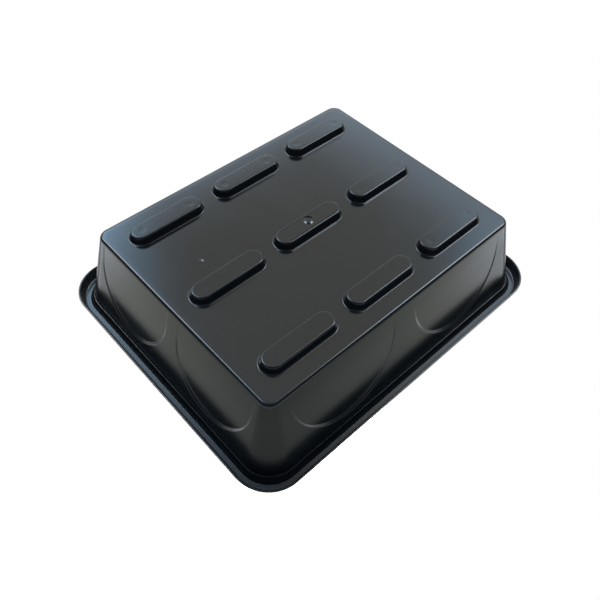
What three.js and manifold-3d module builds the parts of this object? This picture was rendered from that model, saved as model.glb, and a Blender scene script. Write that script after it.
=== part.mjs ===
import * as THREE from 'three';
import { mergeVertices } from 'three/addons/utils/BufferGeometryUtils.js';
import Module from 'manifold-3d';

// A shallow black plastic gravel tray: a floor on nine hollow feet, four leaning walls with two
// recessed arches each, round corners, and a rim that is a channel, open below, with a hanging lip.
// Millimetres. X runs along the long sides, Z is up, and the feet stand on Z = 0.

// Floor and walls
const BASE_LENGTH = 196;
const BASE_WIDTH = 154;
const BASE_CORNER_RADIUS = 6.5;
const FLOOR_THICKNESS = 1.5;
const WALL_RISE = 51.3; // underside of the floor to the start of the rim
const WALL_LEAN = 13.4; // how far a wall leans out over that rise
const WALL_THICKNESS = 1.4; // measured level
const WALL_TOP_CORNER_RADIUS = 18;
const CORNER_LAP = 1; // straight stretch that a corner keeps at each end of its bend

// Rim: the wall flares out, runs level over a channel and ends in a lip that hangs outside it
const RIM_RISE = 5.2; // top of the wall to top of the rim
const RIM_REACH = 8.6; // outer face of the wall to outer edge of the lip
const RIM_THICKNESS = 1.3;
const RIM_CORNER_RADIUS = 23.6;
const RIM_LEDGE = 0.4; // step between the wall's outer face and the flare
const FLARE_REACH = 2.8; // outer face of the wall to the start of the channel
const CHANNEL_WIDTH = 3.2;
const LIP_DROP = 8; // top of the rim to lower edge of the lip
const LIP_SPLAY = 1.7; // how far the lip's edge stands out beyond the rim's shoulder
const LIP_THICKNESS = 1;
const SHOULDER_ROUND = 1.8; // how far along each side of it the rounding of a corner begins
const RIM_INNER_ROUND = 0.8;

// Feet, in a grid of rows and columns
const FOOT_ROWS = ['front', 'middle', 'back'];
const FOOT_COLUMNS = ['left', 'centre', 'right'];
const FOOT_HEIGHT = 4.8;
const FOOT_STRAIGHT = 35.4; // straight side between the round ends
const FOOT_TOE_RADIUS = 6.1; // at the ground
const FOOT_ROOT_RADIUS = 7.4; // under the floor
const FOOT_WALL = 1.4;
const FOOT_EDGE_ROUND = 0.7;
const FOOT_END_MARGIN = 12.1; // end of the outer feet to the edge of the base
const FOOT_SIDE_MARGIN = 11.6; // side of the outer feet to the edge of the base

// Arches, two in each wall
const ARCH_DEPTH = 1.4; // at the crown, fading to nothing at the base
const LONG_ARCH_TOP_MARGIN = 5.2; // crown to top of the wall
const LONG_ARCH_MIDDLE_GAP = 16.6;
const LONG_ARCH_END_GAP = 12.7; // arch to the edge of the base
const SHORT_ARCH_TOP_MARGIN = 6.4;
const SHORT_ARCH_MIDDLE_GAP = 10;
const SHORT_ARCH_END_GAP = 9;

// Steps that round stretches are drawn with
const CORNER_STEPS = 10;
const FOOT_END_STEPS = 5; // for a quarter turn
const ARCH_STEPS = 14; // for a quarter turn
const EDGE_STEPS = 3;
const CUT_OVERRUN = 5; // how far a cutting body runs past what it cuts

const PLASTIC = new THREE.MeshStandardMaterial({ color: 0x2d2e30, roughness: 0.42, metalness: 0 });

// Levels and places that follow from the sizes
const FLOOR_TOP = FOOT_HEIGHT + FLOOR_THICKNESS;
const WALL_TOP = FOOT_HEIGHT + WALL_RISE;
const RIM_TOP = WALL_TOP + RIM_RISE;
const HALF_LENGTH = BASE_LENGTH / 2;
const HALF_WIDTH = BASE_WIDTH / 2;

const wasm = await Module();
wasm.setup();

function toSolid(geometry) {
  const bare = geometry.clone();
  bare.deleteAttribute('normal');
  bare.deleteAttribute('uv');
  const merged = mergeVertices(bare);
  const vertProperties = new Float32Array(merged.attributes.position.array);
  const triVerts = new Uint32Array(merged.index.array);
  return new wasm.Manifold(new wasm.Mesh({ numProp: 3, vertProperties, triVerts }));
}

function toGeometry(solid) {
  const mesh = solid.getMesh();
  const geometry = new THREE.BufferGeometry();
  geometry.setAttribute('position', new THREE.BufferAttribute(mesh.vertProperties, 3));
  geometry.setIndex(new THREE.BufferAttribute(mesh.triVerts, 1));
  return geometry;
}

// A closed body through rings of points that match one to one, with flat ends.
// The outline is the rings' shape drawn flat, counter-clockwise seen from the last ring.
function skin(rings, outline) {
  const count = outline.length;
  const triangles = [];
  for (let ring = 0; ring + 1 < rings.length; ring += 1) {
    for (let side = 0; side < count; side += 1) {
      const a = ring * count + side;
      const b = ring * count + ((side + 1) % count);
      triangles.push(a, b, a + count);
      triangles.push(b, b + count, a + count);
    }
  }
  const last = (rings.length - 1) * count;
  for (const [a, b, c] of THREE.ShapeUtils.triangulateShape(outline, [])) {
    triangles.push(c, b, a);
    triangles.push(a + last, b + last, c + last);
  }
  const geometry = new THREE.BufferGeometry().setFromPoints(rings.flat());
  geometry.setIndex(triangles);
  return geometry;
}

// A stack of flat outlines, each { points, z }, from the lowest to the highest.
function stack(levels) {
  const rings = levels.map(({ points, z }) => points.map(({ x, y }) => new THREE.Vector3(x, y, z)));
  return skin(rings, levels[0].points);
}

// How far the outer face of a wall stands out from the base at a height.
function wallReach(z, lean = WALL_LEAN) {
  return (lean * (z - FOOT_HEIGHT)) / WALL_RISE;
}

// The corner radius of the wall's outer face at a height.
function wallCornerRadius(z) {
  const share = (z - FOOT_HEIGHT) / WALL_RISE;
  return THREE.MathUtils.lerp(BASE_CORNER_RADIUS, WALL_TOP_CORNER_RADIUS, share);
}

function roundedRectangle(halfLength, halfWidth, radius) {
  const shape = new THREE.Shape();
  const x = halfLength - radius;
  const y = halfWidth - radius;
  shape.absarc(x, y, radius, 0, Math.PI / 2);
  shape.absarc(-x, y, radius, Math.PI / 2, Math.PI);
  shape.absarc(-x, -y, radius, Math.PI, 1.5 * Math.PI);
  shape.absarc(x, -y, radius, 1.5 * Math.PI, 2 * Math.PI);
  return shape.getPoints(CORNER_STEPS / 2);
}

function obround(radius) {
  const shape = new THREE.Shape();
  const x = FOOT_STRAIGHT / 2;
  shape.absarc(x, 0, radius, -Math.PI / 2, Math.PI / 2);
  shape.absarc(-x, 0, radius, Math.PI / 2, 1.5 * Math.PI);
  return shape.getPoints(FOOT_END_STEPS);
}

// A profile is a closed outline of corners { reach, z, radius }: how far out from the base, at
// what height, and with what corner radius that line of the tray runs round.
const WALL_PROFILE = [
  { z: FLOOR_TOP, inset: 0 },
  { z: WALL_TOP, inset: 0 },
  { z: WALL_TOP, inset: WALL_THICKNESS },
  { z: FLOOR_TOP, inset: WALL_THICKNESS },
].map(({ z, inset }) => ({ z, reach: wallReach(z) - inset, radius: wallCornerRadius(z) - inset }));

// The points of a corner that is rounded from one length before it to the same length after it.
function roundCorner(before, corner, after, length) {
  const toward = (other) => other.clone().sub(corner).setLength(length).add(corner);
  return new THREE.QuadraticBezierCurve(toward(before), corner, toward(after)).getPoints(EDGE_STEPS);
}

// The rim, from the wall's inner face out along the underside, down the lip and back over the top.
// Its corners are (distance out from the wall's outer face, height).
function rimProfile() {
  const channel = RIM_TOP - RIM_THICKNESS;
  const lipBottom = RIM_TOP - LIP_DROP;
  const innerFace = new THREE.Vector2(-WALL_THICKNESS, WALL_TOP);
  const lipEdge = new THREE.Vector2(RIM_REACH, lipBottom);
  const shoulder = new THREE.Vector2(RIM_REACH - LIP_SPLAY, RIM_TOP);
  const innerEdge = new THREE.Vector2(FLARE_REACH - RIM_THICKNESS / 2, RIM_TOP);
  const corners = [
    innerFace,
    new THREE.Vector2(RIM_LEDGE, WALL_TOP),
    new THREE.Vector2(FLARE_REACH, channel),
    new THREE.Vector2(FLARE_REACH + CHANNEL_WIDTH, channel),
    new THREE.Vector2(RIM_REACH - LIP_THICKNESS, lipBottom),
    lipEdge,
    ...roundCorner(lipEdge, shoulder, innerEdge, SHOULDER_ROUND),
    ...roundCorner(shoulder, innerEdge, innerFace, RIM_INNER_ROUND),
  ];
  const growth = (RIM_CORNER_RADIUS - WALL_TOP_CORNER_RADIUS) / RIM_REACH;
  return corners.map(({ x, y }) => ({
    reach: WALL_LEAN + x,
    z: y,
    radius: WALL_TOP_CORNER_RADIUS + (x > 0 ? x * growth : x),
  }));
}

// The straight pieces end, and the corner pieces begin, before any corner starts to bend.
const RIM_PROFILE = rimProfile();
const BENDS = [...WALL_PROFILE, ...RIM_PROFILE].map(({ reach, radius }) => radius - reach);
const STRAIGHT_INSET = Math.max(BASE_CORNER_RADIUS, ...BENDS) + CORNER_LAP;
const STRAIGHT_X = HALF_LENGTH - STRAIGHT_INSET;
const STRAIGHT_Y = HALF_WIDTH - STRAIGHT_INSET;

function flatOutline(profile) {
  return profile.map(({ reach, z }) => new THREE.Vector2(reach, z));
}

// A straight stretch of a profile that faces +X, at a distance from the middle of the tray.
function straightPiece(profile, distance, halfLength) {
  const rings = [halfLength, -halfLength].map((y) =>
    profile.map(({ reach, z }) => new THREE.Vector3(distance + reach, y, z)),
  );
  return skin(rings, flatOutline(profile));
}

// A profile bent round one corner of the tray, with its straight stretches. Signs pick the corner.
function cornerPiece(profile, signX, signY) {
  const stations = [({ reach }) => [STRAIGHT_X, HALF_WIDTH + reach]];
  for (let step = 0; step <= CORNER_STEPS; step += 1) {
    const angle = (Math.PI / 2) * (1 - step / CORNER_STEPS);
    stations.push(({ reach, radius }) => [
      HALF_LENGTH + reach - radius * (1 - Math.cos(angle)),
      HALF_WIDTH + reach - radius * (1 - Math.sin(angle)),
    ]);
  }
  stations.push(({ reach }) => [HALF_LENGTH + reach, STRAIGHT_Y]);
  const rings = stations.map((place) =>
    profile.map((corner) => {
      const [x, y] = place(corner);
      return new THREE.Vector3(signX * x, signY * y, corner.z);
    }),
  );
  if (signX * signY < 0) {
    rings.reverse();
  }
  return skin(rings, flatOutline(profile));
}

// An upright arch, seen from outside a wall that faces +X, and run right through the wall.
function archBody(middle, radius, centreZ, distance) {
  const foot = Math.min(centreZ, FLOOR_TOP) - CUT_OVERRUN;
  const shape = new THREE.Shape();
  shape.moveTo(middle + radius, foot);
  shape.absarc(middle, centreZ, radius, 0, Math.PI);
  shape.lineTo(middle - radius, foot);
  const depth = WALL_LEAN + WALL_THICKNESS + ARCH_DEPTH + 2 * CUT_OVERRUN;
  const geometry = new THREE.ExtrudeGeometry(shape, {
    depth,
    bevelEnabled: false,
    curveSegments: ARCH_STEPS,
  });
  geometry.translate(0, 0, distance + WALL_LEAN + CUT_OVERRUN - depth);
  const outward = new THREE.Vector3(1, 0, 0);
  const along = new THREE.Vector3(0, 1, 0);
  const up = new THREE.Vector3(0, 0, 1);
  geometry.applyMatrix4(new THREE.Matrix4().makeBasis(along, up, outward));
  return toSolid(geometry);
}

// A leaning slab as long as the wall, between two faces given by their reach at each height.
function leaningSlab(distance, halfLength, outerReach, innerReach) {
  const outline = [
    { z: FLOOR_TOP, reach: outerReach(FLOOR_TOP) },
    { z: WALL_TOP, reach: outerReach(WALL_TOP) },
    { z: WALL_TOP, reach: innerReach(WALL_TOP) },
    { z: FLOOR_TOP, reach: innerReach(FLOOR_TOP) },
  ];
  return toSolid(straightPiece(outline, distance, halfLength));
}

// A wall that faces +X. Each arch is pressed in: a recess outside and, one thickness larger all
// round, a raised panel inside. The panel leans less than the wall, so it fades out at the base.
function wallPiece({ distance, halfLength, archMiddle, archRadius, archCrown }) {
  const panelLean = WALL_LEAN - (ARCH_DEPTH * WALL_RISE) / (archCrown - FOOT_HEIGHT);
  const panelInside = (z) => wallReach(z, panelLean) - WALL_THICKNESS;
  const panelOutside = (z) => wallReach(z, panelLean);
  const wallMiddle = (z) => wallReach(z) - WALL_THICKNESS / 2;
  const clearOutside = (z) => wallReach(z) + CUT_OVERRUN / 2;
  const centreZ = archCrown - archRadius;
  const pad = leaningSlab(distance, halfLength, wallMiddle, panelInside);
  const cutter = leaningSlab(distance, halfLength + CUT_OVERRUN, clearOutside, panelOutside);
  let wall = toSolid(straightPiece(WALL_PROFILE, distance, halfLength));
  for (const middle of [-archMiddle, archMiddle]) {
    const raised = archBody(middle, archRadius + WALL_THICKNESS, centreZ, distance);
    const recess = archBody(middle, archRadius, centreZ, distance);
    wall = wall.add(pad.intersect(raised)).subtract(cutter.intersect(recess));
  }
  return toGeometry(wall);
}

// The outer radius of a foot at a height, between the ground and the floor.
function footRadius(z) {
  return THREE.MathUtils.lerp(FOOT_TOE_RADIUS, FOOT_ROOT_RADIUS, z / FOOT_HEIGHT);
}

// A hollow foot, open at the top, with its lower edge rounded.
function footPiece() {
  const levels = [];
  for (let step = 0; step <= EDGE_STEPS; step += 1) {
    const angle = (Math.PI / 2) * (step / EDGE_STEPS);
    const z = FOOT_EDGE_ROUND * (1 - Math.cos(angle));
    levels.push({ points: obround(footRadius(z) - FOOT_EDGE_ROUND * (1 - Math.sin(angle))), z });
  }
  levels.push({ points: obround(FOOT_ROOT_RADIUS), z: FOOT_HEIGHT });
  const pocketTop = FOOT_HEIGHT + CUT_OVERRUN;
  const pocket = [FOOT_WALL, pocketTop].map((z) => ({ points: obround(footRadius(z) - FOOT_WALL), z }));
  return toGeometry(toSolid(stack(levels)).subtract(toSolid(stack(pocket))));
}

function footPlace(row, column) {
  const pitchX = HALF_LENGTH - FOOT_END_MARGIN - FOOT_ROOT_RADIUS - FOOT_STRAIGHT / 2;
  const pitchY = HALF_WIDTH - FOOT_SIDE_MARGIN - FOOT_ROOT_RADIUS;
  return new THREE.Vector3((column - 1) * pitchX, (row - 1) * pitchY, 0);
}

// The floor, with an opening over each foot's pocket.
function floorPiece() {
  const levels = [FOOT_HEIGHT, FLOOR_TOP].map((z) => {
    const reach = wallReach(z);
    return { points: roundedRectangle(HALF_LENGTH + reach, HALF_WIDTH + reach, wallCornerRadius(z)), z };
  });
  let floor = toSolid(stack(levels));
  const opening = obround(FOOT_ROOT_RADIUS - FOOT_WALL);
  const cut = [FOOT_HEIGHT - CUT_OVERRUN, FLOOR_TOP + CUT_OVERRUN].map((z) => ({ points: opening, z }));
  for (let row = 0; row < FOOT_ROWS.length; row += 1) {
    for (let column = 0; column < FOOT_COLUMNS.length; column += 1) {
      const { x, y } = footPlace(row, column);
      floor = floor.subtract(toSolid(stack(cut).translate(x, y, 0)));
    }
  }
  return toGeometry(floor);
}

const tray = new THREE.Group();

function addPiece(name, geometry) {
  geometry.computeVertexNormals();
  const piece = new THREE.Mesh(geometry, PLASTIC.clone());
  piece.name = name;
  tray.add(piece);
  return piece;
}

addPiece('floor_panel', floorPiece());

FOOT_ROWS.forEach((rowName, row) => {
  FOOT_COLUMNS.forEach((columnName, column) => {
    addPiece(`foot_${rowName}_${columnName}`, footPiece()).position.copy(footPlace(row, column));
  });
});

const longArchRadius = (HALF_LENGTH - LONG_ARCH_END_GAP - LONG_ARCH_MIDDLE_GAP / 2) / 2;
const shortArchRadius = (HALF_WIDTH - SHORT_ARCH_END_GAP - SHORT_ARCH_MIDDLE_GAP / 2) / 2;
const LONG_SIDE = {
  distance: HALF_WIDTH,
  halfLength: STRAIGHT_X,
  archRadius: longArchRadius,
  archMiddle: LONG_ARCH_MIDDLE_GAP / 2 + longArchRadius,
  archCrown: WALL_TOP - LONG_ARCH_TOP_MARGIN,
};
const SHORT_SIDE = {
  distance: HALF_LENGTH,
  halfLength: STRAIGHT_Y,
  archRadius: shortArchRadius,
  archMiddle: SHORT_ARCH_MIDDLE_GAP / 2 + shortArchRadius,
  archCrown: WALL_TOP - SHORT_ARCH_TOP_MARGIN,
};
const SIDES = [
  { name: 'right', side: SHORT_SIDE },
  { name: 'back', side: LONG_SIDE },
  { name: 'left', side: SHORT_SIDE },
  { name: 'front', side: LONG_SIDE },
];
SIDES.forEach(({ name, side }, quarter) => {
  const turn = (quarter * Math.PI) / 2;
  addPiece(`wall_${name}`, wallPiece(side)).rotation.z = turn;
  addPiece(`rim_${name}`, straightPiece(RIM_PROFILE, side.distance, side.halfLength)).rotation.z = turn;
});

for (const [rowName, signY] of [['front', -1], ['back', 1]]) {
  for (const [columnName, signX] of [['left', -1], ['right', 1]]) {
    addPiece(`wall_corner_${rowName}_${columnName}`, cornerPiece(WALL_PROFILE, signX, signY));
    addPiece(`rim_corner_${rowName}_${columnName}`, cornerPiece(RIM_PROFILE, signX, signY));
  }
}

export default tray;
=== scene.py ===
import math

import bmesh
import bpy
import numpy as np
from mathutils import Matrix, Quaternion, Vector
from mathutils.geometry import delaunay_2d_cdt, normal


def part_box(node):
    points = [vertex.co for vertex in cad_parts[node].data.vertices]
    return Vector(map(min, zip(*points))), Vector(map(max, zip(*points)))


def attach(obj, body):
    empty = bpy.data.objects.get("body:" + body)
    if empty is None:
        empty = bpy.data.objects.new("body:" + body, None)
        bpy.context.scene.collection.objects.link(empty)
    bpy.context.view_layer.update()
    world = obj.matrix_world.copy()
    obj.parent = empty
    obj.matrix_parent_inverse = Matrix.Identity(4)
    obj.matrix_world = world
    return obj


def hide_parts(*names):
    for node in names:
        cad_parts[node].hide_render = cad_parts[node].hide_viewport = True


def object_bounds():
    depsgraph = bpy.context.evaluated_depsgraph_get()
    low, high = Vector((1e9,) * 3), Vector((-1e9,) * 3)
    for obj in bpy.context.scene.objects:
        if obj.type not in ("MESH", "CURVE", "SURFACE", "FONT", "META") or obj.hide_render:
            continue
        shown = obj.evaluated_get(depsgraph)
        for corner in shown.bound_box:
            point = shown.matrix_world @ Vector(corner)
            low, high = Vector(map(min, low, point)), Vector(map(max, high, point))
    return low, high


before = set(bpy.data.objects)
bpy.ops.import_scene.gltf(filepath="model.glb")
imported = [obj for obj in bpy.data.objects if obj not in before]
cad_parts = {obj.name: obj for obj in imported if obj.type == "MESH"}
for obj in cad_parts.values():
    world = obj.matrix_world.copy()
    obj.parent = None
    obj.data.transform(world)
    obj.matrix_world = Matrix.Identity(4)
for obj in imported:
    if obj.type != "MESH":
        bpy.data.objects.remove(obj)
cad_low, cad_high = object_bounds()

# The looks of a black plastic gravel tray that stands on its feet. Metres, in the frame of its solids.
# Each solid gets a finer skin with its moulded fillets. The camera looks up at the underside.
MM = 0.001
UP = Vector((0, 0, 1))
QUARTER_TURN = math.pi / 2

# Sizes read off the solids
floor_low, floor_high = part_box("floor_panel")
wall_x_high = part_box("wall_right")[1]
wall_y_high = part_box("wall_back")[1]
rim_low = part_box("rim_right")[0]
foot_low, foot_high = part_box("foot_middle_centre")
UNDERSIDE = floor_low.z
FLOOR_TOP = floor_high.z
WALL_TOP = wall_x_high.z
RIM_TOP = cad_high.z
LIP_BOTTOM = rim_low.z
LEAN = (wall_x_high.x - floor_high.x) / (WALL_TOP - FLOOR_TOP)
HALF_LENGTH = floor_high.x - LEAN * (FLOOR_TOP - UNDERSIDE)
HALF_WIDTH = floor_high.y - LEAN * (FLOOR_TOP - UNDERSIDE)
STRAIGHT_X = wall_y_high.x
STRAIGHT_Y = wall_x_high.y
RIM_EDGE = cad_high.x - HALF_LENGTH
FOOT_ROOT_RADIUS = (foot_high.y - foot_low.y) / 2
FOOT_HALF_STRAIGHT = (foot_high.x - foot_low.x) / 2 - FOOT_ROOT_RADIUS

# Walls and floor
WALL = 1.4 * MM
BASE_CORNER_RADIUS = 6.5 * MM
WALL_TOP_CORNER_RADIUS = 18 * MM
BASE_EDGE_ROUND = 2 * MM
FLOOR_INNER_FILLET = 2.5 * MM

# Rim. A reach is measured outward from the edge of the base.
RIM_CORNER_RADIUS = 23.6 * MM
RIM_LEDGE = 0.4 * MM
RIM_LEDGE_RISE = 0.12 * MM
RIM_LEDGE_ROUND = 0.2 * MM
CHANNEL = RIM_TOP - 1.3 * MM
CHANNEL_START = 16.25 * MM
CHANNEL_START_ROUND = 0.3 * MM
CHANNEL_END = 19.4 * MM
CHANNEL_END_ROUND = 1 * MM
LIP_THICKNESS = 1 * MM
LIP_BEVEL = 0.2 * MM
LIP_INNER_ROUND = 0.35 * MM
LIP_OUTER_ROUND = 0.4 * MM
RIM_SHOULDER = 20.3 * MM
RIM_SHOULDER_ROUND = 2.2 * MM
RIM_INNER_EDGE = 15.5 * MM
RIM_INNER_ROUND = 1.5 * MM
RIM_BEND = WALL_TOP - 0.2 * MM
RIM_BEND_ROUND = 2 * MM

# Where one skin ends and the next begins, on the outer and on the inner face
EDGE_LAND = 4 * MM
FLOOR_JOINT_OUTSIDE = UNDERSIDE + 3 * MM
FLOOR_JOINT_INSIDE = FLOOR_TOP + 2.4 * MM
RIM_JOINT_OUTSIDE = WALL_TOP - 2.2 * MM
RIM_JOINT_INSIDE = WALL_TOP - 1.8 * MM

# Pressed arches, as radius, distance from the middle of the wall and height of the crown
ARCH_DEPTH = 1.4 * MM
ARCH_STEP = 0.8 * MM
ARCH_INSIDE_GROWTH = 0.3 * MM
LONG_ARCH = (38.5 * MM, 46.8 * MM, WALL_TOP - 5.2 * MM)
SHORT_ARCH = (31.5 * MM, 36.5 * MM, WALL_TOP - 6.4 * MM)

# Feet
FOOT_TOE_RADIUS = 6.1 * MM
FOOT_FILLET = 1 * MM
FOOT_TOE_ROUND = 1.1 * MM
FOOT_WALL = 1.4 * MM
FOOT_SOLE_LAND = 4.6 * MM
FOOT_ROOT_LAND = 8.8 * MM
POCKET_MOUTH_LAND = 8 * MM
POCKET_BOTTOM_LAND = 3.4 * MM

# Marks of the mould on the soles
PIN_MARK_RADIUS = 2.5 * MM
PIN_MARK_SLOPE = 0.4 * MM
PIN_MARK_PLACE = 17 * MM
PIN_MARK_DEPTH = 0.03 * MM
GATE_FOOT = "foot_middle_centre"
GATE_MARK_PLACE = Vector((0.8, -0.9, 0)) * MM
GATE_MARK_RADIUS = 3.4 * MM
GATE_MARK_BOTTOM_RADIUS = 3.1 * MM
GATE_MARK_DEPTH = 0.55 * MM
GATE_NUB_RADIUS = 1.8 * MM
GATE_NUB_DEPTH = 0.1 * MM
GATE_MARK_ROUND = 0.2 * MM

# A nick in the underside of the floor
NICK_PLACE = Vector((-64.1 * MM, -21.1 * MM, UNDERSIDE))
NICK_AXIS = Vector((0.9, 2.6, 0))
NICK_RADIUS = 0.85 * MM
NICK_BOTTOM_RADIUS = 0.17 * MM
NICK_DEPTH = 0.23 * MM
NICK_ROUND = 0.2 * MM

# How finely round stretches are drawn
CORNER_STEPS = 24
FILLET_STEPS = 6
ARCH_STEPS = 64
BAND_STEPS = 8
FOOT_END_STEPS = 20
MARK_STEPS = 28
WALL_ROWS = 5

# How much a flat face counts for the normals at its edge, how near points are joined into one,
# and the number by which the triangulation is asked for what lies inside the outlines
FLAT_WEIGHT = 50
WELD = 1e-7
TRIANGLES_INSIDE = 1


def wall_reach(z):
    """How far the outer face of a wall stands out from the edge of the base."""
    return LEAN * (z - UNDERSIDE)


def plan_radius(reach, z):
    """The corner radius, seen from above, of a line that runs round the tray."""
    share = (z - UNDERSIDE) / (WALL_TOP - UNDERSIDE)
    wall_radius = BASE_CORNER_RADIUS + (WALL_TOP_CORNER_RADIUS - BASE_CORNER_RADIUS) * share
    outside = reach - wall_reach(z)
    if outside < 0:
        return wall_radius + outside
    overhang = RIM_EDGE - wall_reach(WALL_TOP)
    return wall_radius + outside * (RIM_CORNER_RADIUS - WALL_TOP_CORNER_RADIUS) / overhang


def arc(centre, radius, start, end, steps):
    """Points on a circle between two angles, in a plane."""
    angles = np.linspace(start, end, steps + 1)
    return [np.array(centre) + radius * np.array((math.cos(a), math.sin(a))) for a in angles]


def rounded(corners):
    """A line in a plane through corners (a, b, radius), each rounded by an arc of its radius."""
    places = [np.array(corner[:2]) for corner in corners]
    line = []
    for index, (place, (_, _, radius)) in enumerate(zip(places, corners)):
        if radius == 0:
            line.append(place)
            continue
        back = places[index - 1] - place
        ahead = places[index + 1] - place
        back /= np.linalg.norm(back)
        ahead /= np.linalg.norm(ahead)
        half_angle = math.acos(np.clip(back @ ahead, -1, 1)) / 2
        bisector = (back + ahead) / np.linalg.norm(back + ahead)
        centre = place + bisector * radius / math.sin(half_angle)
        from_start = place + back * radius / math.tan(half_angle) - centre
        from_end = place + ahead * radius / math.tan(half_angle) - centre
        start = math.atan2(from_start[1], from_start[0])
        turn = math.atan2(from_end[1], from_end[0]) - start
        turn = (turn + math.pi) % (2 * math.pi) - math.pi
        line += arc(centre, radius, start, start + turn, FILLET_STEPS)
    return line


class Body:
    """A closed body, gathered face by face. A face with no weight meets a neighbour and is hidden."""

    def __init__(self):
        self.index = {}
        self.points = []
        self.faces = []
        self.weights = []

    def weld(self, point):
        key = weld_key(point)
        if key not in self.index:
            self.index[key] = len(self.points)
            self.points.append(Vector(point))
        return self.index[key]

    def add_face(self, corners, weight=1):
        face = list(dict.fromkeys(self.weld(corner) for corner in corners))
        if len(face) > 2:
            self.faces.append(face)
            self.weights.append(weight)

    def add_grid(self, lines, weight=1, closed=False):
        """Quads between lines of points that match one to one."""
        for line, other in zip(lines, lines[1:]):
            count = len(line)
            for k in range(count if closed else count - 1):
                after = (k + 1) % count
                self.add_face((line[k], line[after], other[after], other[k]), weight)

    def add_flat(self, outlines):
        """A flat face with holes: the first outline is its edge."""
        corners = []
        loops = []
        for outline in outlines:
            loops.append(list(range(len(corners), len(corners) + len(outline))))
            corners += outline
        face_normal = normal(outlines[0])
        steepest = max(range(3), key=lambda axis: abs(face_normal[axis]))
        kept_axes = [axis for axis in range(3) if axis != steepest]
        places = [Vector([corner[axis] for axis in kept_axes]) for corner in corners]
        _, _, triangles, sources, _, _ = delaunay_2d_cdt(places, [], loops, TRIANGLES_INSIDE, WELD)
        holes = [set(loop) for loop in loops[1:]]
        for triangle in triangles:
            picked = [sources[k][0] for k in triangle]
            if not any(hole.issuperset(picked) for hole in holes):
                self.add_face([corners[k] for k in picked], FLAT_WEIGHT)


def weld_key(point):
    """The same key for points that count as one."""
    return tuple(round(value / WELD) for value in point)


# Corners, as signs of x and y. Sides, as outward, forward, distance from the middle, half length and arch.
CORNERS = {
    "back_right": (1, 1),
    "back_left": (-1, 1),
    "front_left": (-1, -1),
    "front_right": (1, -1),
}
SIDES = {
    "right": (Vector((1, 0, 0)), Vector((0, 1, 0)), HALF_LENGTH, STRAIGHT_Y, SHORT_ARCH),
    "back": (Vector((0, 1, 0)), Vector((-1, 0, 0)), HALF_WIDTH, STRAIGHT_X, LONG_ARCH),
    "left": (Vector((-1, 0, 0)), Vector((0, -1, 0)), HALF_LENGTH, STRAIGHT_Y, SHORT_ARCH),
    "front": (Vector((0, -1, 0)), Vector((1, 0, 0)), HALF_WIDTH, STRAIGHT_X, LONG_ARCH),
}


def corner_run(corner, reach, z):
    """A line of given reach and height round one corner, with its straight ends, turning left."""
    sign_x, sign_y = CORNERS[corner]
    radius = plan_radius(reach, z)
    half_length = HALF_LENGTH + reach
    half_width = HALF_WIDTH + reach
    middle = (half_length - radius, half_width - radius)
    places = [(half_length, STRAIGHT_Y)]
    places += arc(middle, radius, 0, QUARTER_TURN, CORNER_STEPS)
    places += [(STRAIGHT_X, half_width)]
    if sign_x * sign_y < 0:
        places.reverse()
    return [Vector((sign_x * x, sign_y * y, z)) for x, y in places]


def side_point(side, along, reach, z):
    outward, forward, half, _, _ = SIDES[side]
    return outward * (half + reach) + forward * along + UP * z


def side_run(side, reach, z):
    """A line of given reach and height along one straight side."""
    _, _, _, length, _ = SIDES[side]
    return [side_point(side, along, reach, z) for along in (-length, length)]


def ring(reach, z):
    """A line of given reach and height all round the tray."""
    return [point for corner in CORNERS for point in corner_run(corner, reach, z)]


def obround(centre, radius, z):
    """A long round-ended loop, as a foot has."""
    places = []
    for sign in (1, -1):
        end_centre = (centre.x + sign * FOOT_HALF_STRAIGHT, centre.y)
        start = -sign * QUARTER_TURN
        places += arc(end_centre, radius, start, start + math.pi, FOOT_END_STEPS)
    return [Vector((x, y, z)) for x, y in places]


def oval(centre, radius, axis):
    """A level loop, stretched along an axis by the length of that axis."""
    across = axis.cross(UP).normalized()
    loop = arc((0, 0), radius, 0, 2 * math.pi, MARK_STEPS)[:-1]
    return [centre + across * x + axis * y for x, y in loop]


# Sections of the marks, as (radius, depth, round)
PIN_MARK = rounded([
    (PIN_MARK_RADIUS, 0, 0),
    (PIN_MARK_RADIUS - PIN_MARK_SLOPE, PIN_MARK_DEPTH, 0),
    (PIN_MARK_RADIUS / 2, PIN_MARK_DEPTH, 0),
])
GATE_MARK = rounded([
    (GATE_MARK_RADIUS + GATE_MARK_ROUND, 0, 0),
    (GATE_MARK_RADIUS, 0, GATE_MARK_ROUND),
    (GATE_MARK_BOTTOM_RADIUS, GATE_MARK_DEPTH, GATE_MARK_ROUND),
    (GATE_NUB_RADIUS, GATE_NUB_DEPTH, GATE_MARK_ROUND),
    (GATE_NUB_RADIUS / 2, GATE_NUB_DEPTH, 0),
])
NICK = rounded([
    (NICK_RADIUS + NICK_ROUND, 0, 0),
    (NICK_RADIUS, 0, NICK_ROUND),
    (NICK_BOTTOM_RADIUS, NICK_DEPTH, NICK_ROUND),
    (NICK_BOTTOM_RADIUS / 2, NICK_DEPTH, 0),
])


def press_mark(body, place, section, axis=Vector((0, 1, 0))):
    """A mark pressed up into a flat face, from its section. Returns its edge."""
    loops = [oval(place + UP * depth, radius, axis) for radius, depth in section]
    body.add_grid(loops, closed=True)
    body.add_flat([loops[-1]])
    return loops[0]


def foot_centres():
    """The middle of each foot, by name."""
    centres = {}
    for name in sorted(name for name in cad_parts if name.startswith("foot_")):
        low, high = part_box(name)
        centres[name] = (low + high) / 2
    return centres


FEET = foot_centres()


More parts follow.
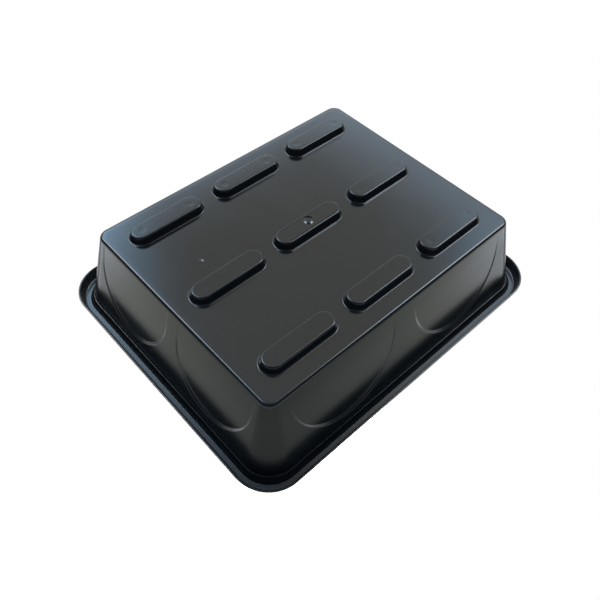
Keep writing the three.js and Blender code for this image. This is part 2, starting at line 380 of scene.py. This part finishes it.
def floor_body():
    """The floor, from its rounded outer edge to the fillet inside, less the feet."""
    body = Body()
    outside = rounded([
        (-EDGE_LAND, UNDERSIDE, 0),
        (0, UNDERSIDE, BASE_EDGE_ROUND),
        (wall_reach(FLOOR_JOINT_OUTSIDE), FLOOR_JOINT_OUTSIDE, 0),
    ])
    inside = rounded([
        (wall_reach(FLOOR_TOP) - WALL - EDGE_LAND, FLOOR_TOP, 0),
        (wall_reach(FLOOR_TOP) - WALL, FLOOR_TOP, FLOOR_INNER_FILLET),
        (wall_reach(FLOOR_JOINT_INSIDE) - WALL, FLOOR_JOINT_INSIDE, 0),
    ])
    outside_rings = [ring(reach, z) for reach, z in outside]
    inside_rings = [ring(reach, z) for reach, z in inside]
    body.add_grid(outside_rings, closed=True)
    body.add_grid(inside_rings, closed=True)
    body.add_grid([outside_rings[-1], inside_rings[-1]], weight=0, closed=True)
    roots = [obround(centre, FOOT_ROOT_LAND, UNDERSIDE) for centre in FEET.values()]
    mouths = [obround(centre, POCKET_MOUTH_LAND, FLOOR_TOP) for centre in FEET.values()]
    nick = press_mark(body, NICK_PLACE, NICK, NICK_AXIS)
    body.add_flat([outside_rings[0], *roots, nick])
    body.add_flat([inside_rings[0], *mouths])
    for root, mouth in zip(roots, mouths):
        body.add_grid([root, mouth], weight=0, closed=True)
    return body


def foot_body(centre, has_gate):
    """One hollow foot with its fillets, and the marks that its mould left on its sole."""
    body = Body()
    outside = rounded([
        (FOOT_SOLE_LAND, 0, 0),
        (FOOT_TOE_RADIUS, 0, FOOT_TOE_ROUND),
        (FOOT_ROOT_RADIUS, UNDERSIDE, FOOT_FILLET),
        (FOOT_ROOT_LAND, UNDERSIDE, 0),
    ])
    pocket = rounded([
        (POCKET_MOUTH_LAND, FLOOR_TOP, 0),
        (FOOT_ROOT_RADIUS - FOOT_WALL, FLOOR_TOP, FOOT_FILLET),
        (FOOT_TOE_RADIUS - FOOT_WALL, FOOT_WALL, FOOT_FILLET),
        (POCKET_BOTTOM_LAND, FOOT_WALL, 0),
    ])
    outside_loops = [obround(centre, radius, z) for radius, z in outside]
    pocket_loops = [obround(centre, radius, z) for radius, z in pocket]
    body.add_grid(outside_loops, closed=True)
    body.add_grid(pocket_loops, closed=True)
    body.add_grid([outside_loops[-1], pocket_loops[0]], weight=0, closed=True)
    body.add_flat([pocket_loops[-1]])
    sole = Vector((centre.x, centre.y, 0))
    marks = []
    for x in (-PIN_MARK_PLACE, PIN_MARK_PLACE):
        marks.append(press_mark(body, sole + Vector((x, 0, 0)), PIN_MARK))
    if has_gate:
        marks.append(press_mark(body, sole + GATE_MARK_PLACE, GATE_MARK))
    body.add_flat([outside_loops[0], *marks])
    return body


def arch_line(middle, radius, centre_z, start_z):
    """An upright arch's edge in the wall's plane, as (along, height)."""
    line = [(middle + radius, start_z)]
    line += arc((middle, centre_z), radius, 0, math.pi, ARCH_STEPS)
    line += [(middle - radius, start_z)]
    return line


def wall_face(body, side, start_z, end_z, inset, growth):
    """One face of a wall with its two arches. Returns the lower edge and the upper edge."""
    _, _, _, length, (radius, middle, crown) = SIDES[side]

    def place(along, z, share):
        depth = ARCH_DEPTH * ((z - start_z) / (crown - start_z)) ** 2
        return side_point(side, along, wall_reach(z) - inset - depth * share, z)

    outline = [place(length, start_z, 0)]
    lower_edge = [outline[0]]
    for arch_middle in (middle, -middle):
        band = []
        for step in range(BAND_STEPS + 1):
            share = step / BAND_STEPS
            smooth = share * share * (3 - 2 * share)
            offset = growth + ARCH_STEP * (1 - 2 * share)
            line = arch_line(arch_middle, radius + offset, crown - radius, start_z)
            band.append([place(along, z, smooth) for along, z in line])
        body.add_grid(band)
        crown_place = len(band[-1]) // 2
        rising = band[-1][:crown_place + 1]
        falling = band[-1][:crown_place - 1:-1]
        body.add_grid([rising, falling], weight=FLAT_WEIGHT)
        outline += band[0]
        lower_edge += [line[0] for line in band] + [line[-1] for line in reversed(band)]
    upper_edge = side_run(side, wall_reach(end_z) - inset, end_z)
    outline.append(place(-length, start_z, 0))
    lower_edge.append(outline[-1])
    outline += upper_edge
    body.add_flat([outline])
    return lower_edge, upper_edge


def wall_body(side):
    """A straight wall with its arches pressed in."""
    body = Body()
    out_low, out_high = wall_face(body, side, FLOOR_JOINT_OUTSIDE, RIM_JOINT_OUTSIDE, 0, 0)
    in_low, in_high = wall_face(body, side, FLOOR_JOINT_INSIDE, RIM_JOINT_INSIDE, WALL, ARCH_INSIDE_GROWTH)
    body.add_face([*out_low, *reversed(in_low)], weight=0)
    body.add_face([*out_high, *reversed(in_high)], weight=0)
    body.add_face([out_low[0], in_low[0], in_high[-1], out_high[-1]], weight=0)
    body.add_face([out_low[-1], in_low[-1], in_high[0], out_high[0]], weight=0)
    return body


def wall_corner_body(corner):
    """A wall bent round a corner. Its radius grows toward the rim."""
    body = Body()
    faces = []
    for start_z, end_z, inset in (
        (FLOOR_JOINT_OUTSIDE, RIM_JOINT_OUTSIDE, 0),
        (FLOOR_JOINT_INSIDE, RIM_JOINT_INSIDE, WALL),
    ):
        heights = np.linspace(start_z, end_z, WALL_ROWS)
        lines = [corner_run(corner, wall_reach(z) - inset, z) for z in heights]
        body.add_grid(lines)
        faces.append(lines)
    outside, inside = faces
    body.add_grid([outside[0], inside[0]], weight=0)
    body.add_grid([outside[-1], inside[-1]], weight=0)
    for end in (0, -1):
        body.add_grid([[line[end] for line in outside], [line[end] for line in inside]], weight=0)
    return body


def rim_profile():
    """The rim's section as (reach, height): along its underside to the lip, then back over its top."""
    foot = wall_reach(WALL_TOP)
    return rounded([
        (wall_reach(RIM_JOINT_OUTSIDE), RIM_JOINT_OUTSIDE, 0),
        (foot, WALL_TOP, RIM_LEDGE_ROUND),
        (foot + RIM_LEDGE, WALL_TOP + RIM_LEDGE_RISE, RIM_LEDGE_ROUND),
        (CHANNEL_START, CHANNEL, CHANNEL_START_ROUND),
        (CHANNEL_END, CHANNEL, CHANNEL_END_ROUND),
        (RIM_EDGE - LIP_THICKNESS, LIP_BOTTOM, LIP_INNER_ROUND),
        (RIM_EDGE, LIP_BOTTOM + LIP_BEVEL, LIP_OUTER_ROUND),
        (RIM_SHOULDER, RIM_TOP, RIM_SHOULDER_ROUND),
        (RIM_INNER_EDGE, RIM_TOP, RIM_INNER_ROUND),
        (wall_reach(RIM_BEND) - WALL, RIM_BEND, RIM_BEND_ROUND),
        (wall_reach(RIM_JOINT_INSIDE) - WALL, RIM_JOINT_INSIDE, 0),
    ])


RIM_PROFILE = rim_profile()


def rim_body(run):
    """A stretch of the rim. The run gives a line of the rim at a reach and a height."""
    body = Body()
    lines = [run(reach, z) for reach, z in RIM_PROFILE]
    body.add_grid(lines)
    body.add_grid([lines[-1], lines[0]], weight=0)
    for end in (0, -1):
        body.add_face([line[end] for line in lines], weight=0)
    return body


def make_bodies():
    bodies = {"floor_panel": floor_body()}
    for name, centre in FEET.items():
        bodies[name] = foot_body(centre, name == GATE_FOOT)
    for side in SIDES:
        bodies[f"wall_{side}"] = wall_body(side)
        bodies[f"rim_{side}"] = rim_body(lambda reach, z: side_run(side, reach, z))
    for corner in CORNERS:
        bodies[f"wall_corner_{corner}"] = wall_corner_body(corner)
        bodies[f"rim_corner_{corner}"] = rim_body(lambda reach, z: corner_run(corner, reach, z))
    return bodies


def make_mesh(name, body):
    """A mesh of a body, with its faces turned outward."""
    mesh = bpy.data.meshes.new(name)
    mesh.from_pydata(body.points, [], body.faces)
    turner = bmesh.new()
    turner.from_mesh(mesh)
    bmesh.ops.recalc_face_normals(turner, faces=turner.faces)
    turner.to_mesh(mesh)
    turner.free()
    return mesh


def shade_as_one(meshes, bodies):
    """Gives neighbours the same normals where they meet, so that the moulding shows no seam."""
    sums = {}
    for name, mesh in meshes.items():
        keys = [weld_key(vertex.co) for vertex in mesh.vertices]
        for polygon, weight in zip(mesh.polygons, bodies[name].weights):
            for vertex in polygon.vertices:
                total = sums.setdefault(keys[vertex], Vector())
                total += polygon.normal * polygon.area * weight
    for name, mesh in meshes.items():
        keys = [weld_key(vertex.co) for vertex in mesh.vertices]
        normals = []
        for polygon, weight in zip(mesh.polygons, bodies[name].weights):
            polygon.use_smooth = weight > 0
            for vertex in polygon.vertices:
                normals.append(sums[keys[vertex]].normalized() if weight else polygon.normal.copy())
        mesh.normals_split_custom_set(normals)


# Plastic. It gets rougher from the floor's upper face up the walls, over a short rise.
PLASTIC_IOR = 1.49
CLOUD_SCALE = 22
CLOUD_DETAIL = 4
CLOUD_RANGE = (0.3, 0.7)
CLOUD_COLOURS = ((0.0038, 0.0066, 0.0095, 1), (0.005, 0.0085, 0.0125, 1))
CLOUD_ROUGHNESS = (0.12, 0.16)
WALL_ROUGHNESS = 0.1
WALL_ROUGHNESS_RISE = 15 * MM
GRAIN_SCALE = 2600
GRAIN_DETAIL = 3
GRAIN_STRENGTH = 0.06
GRAIN_DEPTH = 0.05 * MM


def plastic_material():
    """Satin black moulded plastic, with faint cloudiness and a fine grain."""
    material = bpy.data.materials.new("satin_black_plastic")
    material.use_nodes = True
    nodes = material.node_tree.nodes
    links = material.node_tree.links
    shader = nodes["Principled BSDF"]
    shader.inputs["IOR"].default_value = PLASTIC_IOR
    place = nodes.new("ShaderNodeTexCoord")
    cloud = nodes.new("ShaderNodeTexNoise")
    cloud.inputs["Scale"].default_value = CLOUD_SCALE
    cloud.inputs["Detail"].default_value = CLOUD_DETAIL
    links.new(place.outputs["Object"], cloud.inputs["Vector"])
    colour = nodes.new("ShaderNodeValToRGB")
    for element, position, black in zip(colour.color_ramp.elements, CLOUD_RANGE, CLOUD_COLOURS):
        element.position = position
        element.color = black
    links.new(cloud.outputs["Fac"], colour.inputs["Fac"])
    links.new(colour.outputs["Color"], shader.inputs["Base Color"])
    gloss = nodes.new("ShaderNodeMapRange")
    gloss.inputs["From Min"].default_value, gloss.inputs["From Max"].default_value = CLOUD_RANGE
    gloss.inputs["To Min"].default_value, gloss.inputs["To Max"].default_value = CLOUD_ROUGHNESS
    links.new(cloud.outputs["Fac"], gloss.inputs["Value"])
    height = nodes.new("ShaderNodeSeparateXYZ")
    links.new(place.outputs["Object"], height.inputs["Vector"])
    rise = nodes.new("ShaderNodeMapRange")
    rise.inputs["From Min"].default_value = FLOOR_TOP
    rise.inputs["From Max"].default_value = FLOOR_TOP + WALL_ROUGHNESS_RISE
    rise.inputs["To Max"].default_value = WALL_ROUGHNESS
    links.new(height.outputs["Z"], rise.inputs["Value"])
    roughness = nodes.new("ShaderNodeMath")
    roughness.operation = "ADD"
    links.new(gloss.outputs["Result"], roughness.inputs[0])
    links.new(rise.outputs["Result"], roughness.inputs[1])
    links.new(roughness.outputs["Value"], shader.inputs["Roughness"])
    grain = nodes.new("ShaderNodeTexNoise")
    grain.inputs["Scale"].default_value = GRAIN_SCALE
    grain.inputs["Detail"].default_value = GRAIN_DETAIL
    links.new(place.outputs["Object"], grain.inputs["Vector"])
    bump = nodes.new("ShaderNodeBump")
    bump.inputs["Strength"].default_value = GRAIN_STRENGTH
    bump.inputs["Distance"].default_value = GRAIN_DEPTH
    links.new(grain.outputs["Fac"], bump.inputs["Height"])
    links.new(bump.outputs["Normal"], shader.inputs["Normal"])
    return material


def make_tray():
    bodies = make_bodies()
    meshes = {name: make_mesh(f"moulded_{name}", body) for name, body in bodies.items()}
    shade_as_one(meshes, bodies)
    plastic = plastic_material()
    for name, mesh in meshes.items():
        mesh.materials.append(plastic)
        piece = bpy.data.objects.new(f"moulded_{name}", mesh)
        bpy.context.scene.collection.objects.link(piece)
        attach(piece, "root")
        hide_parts(name)


# Stage. The floor turns white between two distances from the tray.
FLOOR_HALF_SIZE = 6
FLOOR_COLOUR = (0.9, 0.9, 0.9, 1)
FLOOR_WHITE_START = 0.35
FLOOR_WHITE_END = 1.1
LAMP_PLACE = Vector((0.3, -0.4, 1.3))
LAMP_SIZE = 0.9
LAMP_POWER = 14


def floor_material():
    """Pale where it is lit near the tray, white to the camera farther off, and clear from below."""
    material = bpy.data.materials.new("pale_floor")
    material.use_nodes = True
    nodes = material.node_tree.nodes
    links = material.node_tree.links
    nodes.remove(nodes["Principled BSDF"])
    pale = nodes.new("ShaderNodeBsdfDiffuse")
    pale.inputs["Color"].default_value = FLOOR_COLOUR
    white = nodes.new("ShaderNodeEmission")
    white.inputs["Strength"].default_value = 1
    clear = nodes.new("ShaderNodeBsdfTransparent")
    face = nodes.new("ShaderNodeNewGeometry")
    distance = nodes.new("ShaderNodeVectorMath")
    distance.operation = "LENGTH"
    links.new(face.outputs["Position"], distance.inputs[0])
    path = nodes.new("ShaderNodeLightPath")
    whiteness = nodes.new("ShaderNodeMapRange")
    whiteness.interpolation_type = "SMOOTHSTEP"
    whiteness.inputs["From Min"].default_value = FLOOR_WHITE_START
    whiteness.inputs["From Max"].default_value = FLOOR_WHITE_END
    links.new(path.outputs["Is Camera Ray"], whiteness.inputs["To Max"])
    links.new(distance.outputs["Value"], whiteness.inputs["Value"])
    top = nodes.new("ShaderNodeMixShader")
    links.new(whiteness.outputs["Result"], top.inputs["Fac"])
    links.new(pale.outputs["BSDF"], top.inputs[1])
    links.new(white.outputs["Emission"], top.inputs[2])
    mix = nodes.new("ShaderNodeMixShader")
    links.new(face.outputs["Backfacing"], mix.inputs["Fac"])
    links.new(top.outputs["Shader"], mix.inputs[1])
    links.new(clear.outputs["BSDF"], mix.inputs[2])
    links.new(mix.outputs["Shader"], nodes["Material Output"].inputs["Surface"])
    return material


def make_floor():
    """A floor under the feet that only the camera sees, so that the surround lights the underside."""
    mesh = bpy.data.meshes.new("floor")
    half = FLOOR_HALF_SIZE
    corners = [(-half, -half, 0), (half, -half, 0), (half, half, 0), (-half, half, 0)]
    mesh.from_pydata(corners, [], [(0, 1, 2, 3)])
    mesh.materials.append(floor_material())
    floor = bpy.data.objects.new("floor", mesh)
    bpy.context.scene.collection.objects.link(floor)
    floor.visible_diffuse = False
    floor.visible_glossy = False
    floor.visible_transmission = False
    floor.visible_shadow = False


def make_lamp():
    """A square lamp above the tray, aimed at it."""
    data = bpy.data.lights.new("lamp_above", "AREA")
    data.size = LAMP_SIZE
    data.energy = LAMP_POWER
    lamp = bpy.data.objects.new("lamp_above", data)
    lamp.location = LAMP_PLACE
    lamp.rotation_mode = "QUATERNION"
    lamp.rotation_quaternion = (-LAMP_PLACE).to_track_quat("-Z", "Y")
    bpy.context.scene.collection.objects.link(lamp)


# Camera, from the photograph's perspective
CAMERA_PLACE = Vector((-190.8, 187.3, -267.2)) * MM
CAMERA_AZIMUTH = math.radians(-45.02)
CAMERA_ELEVATION = math.radians(52.08)
CAMERA_ROLL = math.radians(-176.96)
CAMERA_LENS = 37.97
CAMERA_SENSOR = 36
CAMERA_CLIP_START = 0.01


def make_camera():
    """The camera of the main view. Returns the direction that it looks in."""
    data = bpy.data.cameras.new("camera")
    data.lens = CAMERA_LENS
    data.sensor_width = CAMERA_SENSOR
    data.clip_start = CAMERA_CLIP_START
    camera = bpy.data.objects.new("camera", data)
    level = math.cos(CAMERA_ELEVATION)
    ahead = Vector((
        level * math.cos(CAMERA_AZIMUTH),
        level * math.sin(CAMERA_AZIMUTH),
        math.sin(CAMERA_ELEVATION),
    ))
    camera.location = CAMERA_PLACE
    camera.rotation_mode = "QUATERNION"
    camera.rotation_quaternion = ahead.to_track_quat("-Z", "Y") @ Quaternion((0, 0, 1), CAMERA_ROLL)
    bpy.context.scene.collection.objects.link(camera)
    bpy.context.scene.camera = camera
    return ahead


class WorldNodes:
    """Small helpers that build the surround out of directions."""

    def __init__(self, world):
        self.nodes = world.node_tree.nodes
        self.links = world.node_tree.links
        self.direction = self.nodes.new("ShaderNodeTexCoord").outputs["Generated"]

    def along(self, axis):
        """How far a direction points along an axis, from -1 to 1."""
        node = self.nodes.new("ShaderNodeVectorMath")
        node.operation = "DOT_PRODUCT"
        node.inputs[1].default_value = axis
        self.links.new(self.direction, node.inputs[0])
        return node.outputs["Value"]

    def fade(self, value, low, high):
        """0 at the first value and 1 at the second, with a soft change between."""
        node = self.nodes.new("ShaderNodeMapRange")
        node.interpolation_type = "SMOOTHSTEP"
        node.inputs["From Min"].default_value = low
        node.inputs["From Max"].default_value = high
        self.links.new(value, node.inputs["Value"])
        return node.outputs["Result"]

    def join(self, operation, first, second):
        """Two values, or a value and a number, joined by an operation."""
        node = self.nodes.new("ShaderNodeMath")
        node.operation = operation
        for socket, value in zip(node.inputs, (first, second)):
            if isinstance(value, (int, float)):
                socket.default_value = value
            else:
                self.links.new(value, socket)
        return node.outputs["Value"]

    def product(self, first, second):
        return self.join("MULTIPLY", first, second)

    def larger(self, first, second):
        return self.join("MAXIMUM", first, second)

    def below(self, axis):
        """Where a direction meets a level plane one unit below, measured along an axis."""
        return self.join("DIVIDE", self.along(axis), self.along(-UP))

    def glow(self, value, steps):
        """Light that changes with a value, step by step. A step is (low, high, strength)."""
        total = None
        for low, high, strength in steps:
            light = self.product(self.fade(value, low, high), strength)
            total = light if total is None else self.join("ADD", total, light)
        return total

    def ramp(self, value, stops):
        """A colour that follows a value from -1 to 1."""
        share = self.nodes.new("ShaderNodeMapRange")
        share.inputs["From Min"].default_value = -1
        self.links.new(value, share.inputs["Value"])
        node = self.nodes.new("ShaderNodeValToRGB")
        elements = node.color_ramp.elements
        while len(elements) < len(stops):
            elements.new(1)
        for element, (position, colour) in zip(elements, stops):
            element.position = (position + 1) / 2
            element.color = (*colour, 1)
        self.links.new(share.outputs["Result"], node.inputs["Fac"])
        return node.outputs["Color"]

    def mix(self, share, first, second):
        """Two colours mixed by a share. A colour is a socket or three numbers."""
        node = self.nodes.new("ShaderNodeMixRGB")
        self.links.new(share, node.inputs["Fac"])
        for socket, colour in ((node.inputs["Color1"], first), (node.inputs["Color2"], second)):
            if isinstance(colour, tuple):
                socket.default_value = (*colour, 1)
            else:
                self.links.new(colour, socket)
        return node.outputs["Color"]

    def add(self, colour, strength, light):
        """A colour with light of another colour and of a given strength added."""
        scale = self.nodes.new("ShaderNodeVectorMath")
        scale.operation = "SCALE"
        scale.inputs[0].default_value = light
        self.links.new(strength, scale.inputs["Scale"])
        total = self.nodes.new("ShaderNodeVectorMath")
        total.operation = "ADD"
        self.links.new(colour, total.inputs[0])
        self.links.new(scale.outputs["Vector"], total.inputs[1])
        return total.outputs["Vector"]


# Surround. The photograph shows the tray upside down, so its table is above here and its ceiling below.
# Height runs from -1 straight down to 1 straight up, and farness from -1 behind the camera to 1 ahead of it.
# A pair of numbers is where a fade starts and where it ends.
WHITE = (1, 1, 1)
DIM = (0.15, 0.15, 0.15)
FAR_SIDE = Vector((1, -1, 0)).normalized()
MIDDLE_HEIGHT = (-0.09, -0.02)
BACKDROP_CONE = (math.cos(math.radians(38.5)), math.cos(math.radians(35)))

# Table, as colours along farness, with a bright patch and a horizon that reaches higher on the near side
TABLE_STOPS = (
    (-1, (0.36, 0.37, 0.34)),
    (-0.3, (0.33, 0.36, 0.31)),
    (-0.2, (0.44, 0.47, 0.42)),
    (-0.07, (0.64, 0.67, 0.61)),
    (0.015, (0.92, 0.94, 0.86)),
    (0.055, (1, 1.02, 0.9)),
    (0.2, (0.85, 0.88, 0.9)),
    (0.3, (0.45, 0.47, 0.5)),
)
TABLE_HEIGHT = (0.2, 0.4)
TABLE_PATCH = ((0.03, 0.12, 2.1), (0.13, 0.22, -2.1))
TABLE_PATCH_HEIGHT = (0.62, 0.54)
TABLE_PATCH_COLOUR = (0.9, 1, 1.2)
HORIZON_STOPS = ((-0.31, WHITE), (-0.26, DIM), (-0.08, DIM), (0, WHITE))
NEAR_SIDE = (-0.22, -0.32)
NEAR_SIDE_SHIFT = -0.16

# Ceiling, dark on the near side
NEAR_COLOUR = (0.13, 0.13, 0.14)
CEILING_COLOUR = (1, 0.95, 0.82)
CEILING_START = (0.36, 0.46)

# Bright panels and strips, each as an axis and as steps of light along it on a plane below the tray
FAR_PANEL = (Vector((0, -1, 0)), ((0.9, 1.06, 3.5), (1.06, 1.14, -3.5)))
RIGHT_PANEL = (Vector((1, 0, 0)), ((0.88, 1.1, 2.3), (1.1, 1.2, -2.3)))
LEFT_PANEL = (Vector((-0.883, -0.469, 0)), ((0, 0.27, 5), (0.3, 0.4, -5)))
NEAR_PANEL = (Vector((0.774, 0.633, 0)), ((0.32, 0.64, 3.3), (0.66, 0.76, -3.3)))
LEFT_STRIP = (Vector((-1, 0, 0)), ((-0.1, 0.1, 9), (0.4, 0.55, -9)))
NEAR_STRIP = (Vector((0, 1, 0)), ((-0.2, 0, 9), (0.4, 0.55, -9)))
PANELS = (FAR_PANEL, RIGHT_PANEL, LEFT_PANEL, NEAR_PANEL, LEFT_STRIP, NEAR_STRIP)
FAR_PANEL_END = (-0.1, 0.2)
RIGHT_PANEL_END = (-0.2, 0.1)
STEEP_HEIGHT = (-0.6, -0.68)
PANEL_START = (0.12, 0.3)
NEAR_STRIP_START = (0.15, 0.4)
FAR_PANEL_COLOUR = (0.69, 1, 1.35)
NEAR_PANEL_COLOUR = (0.5, 1, 1.5)


def table_half(make, height, farness, ahead):
    """The surround above the tray: a table, its horizon, and a white backdrop where the camera looks."""
    table = make.ramp(farness, TABLE_STOPS)
    patch = make.product(make.glow(farness, TABLE_PATCH), make.fade(height, *TABLE_PATCH_HEIGHT))
    table = make.add(table, patch, TABLE_PATCH_COLOUR)
    horizon = make.ramp(farness, HORIZON_STOPS)
    shift = make.product(make.fade(farness, *NEAR_SIDE), NEAR_SIDE_SHIFT)
    shifted_height = make.join("ADD", height, shift)
    table = make.mix(make.fade(shifted_height, *TABLE_HEIGHT), horizon, table)
    return make.mix(make.fade(make.along(ahead), *BACKDROP_CONE), table, WHITE)


def ceiling_half(make, height, farness):
    """The surround below the tray: a ceiling with bright panels and strips."""
    lights = [make.glow(make.below(axis), steps) for axis, steps in PANELS]
    far, right, left, near, left_strip, near_strip = lights
    steep = make.fade(height, *STEEP_HEIGHT)
    start = make.fade(farness, *PANEL_START)
    steep_start = make.product(steep, start)
    far = make.product(far, make.fade(make.below(RIGHT_PANEL[0]), *FAR_PANEL_END))
    right = make.product(right, make.fade(make.below(FAR_PANEL[0]), *RIGHT_PANEL_END))
    left = make.product(left, steep_start)
    near = make.product(near, steep_start)
    near = make.larger(make.join("SUBTRACT", near, right), 0)
    left_strip = make.product(left_strip, start)
    near_strip = make.product(near_strip, make.fade(farness, *NEAR_STRIP_START))
    strips = make.product(make.larger(left_strip, near_strip), steep)
    ceiling = make.mix(make.fade(farness, *CEILING_START), NEAR_COLOUR, CEILING_COLOUR)
    ceiling = make.add(ceiling, make.larger(far, right), FAR_PANEL_COLOUR)
    ceiling = make.add(ceiling, make.larger(left, near), NEAR_PANEL_COLOUR)
    return make.add(ceiling, strips, WHITE)


def make_world(ahead):
    """The surround that the plastic mirrors, with its ceiling below the tray and its table above."""
    world = bpy.data.worlds.new("surround")
    world.use_nodes = True
    bpy.context.scene.world = world
    make = WorldNodes(world)
    height = make.along(UP)
    farness = make.along(FAR_SIDE)
    table = table_half(make, height, farness, ahead)
    ceiling = ceiling_half(make, height, farness)
    surround = make.mix(make.fade(height, *MIDDLE_HEIGHT), ceiling, table)
    make.links.new(surround, make.nodes["Background"].inputs["Color"])


make_tray()
make_floor()
ahead = make_camera()
make_world(ahead)
make_lamp()
bpy.context.scene.view_settings.view_transform = "Standard"
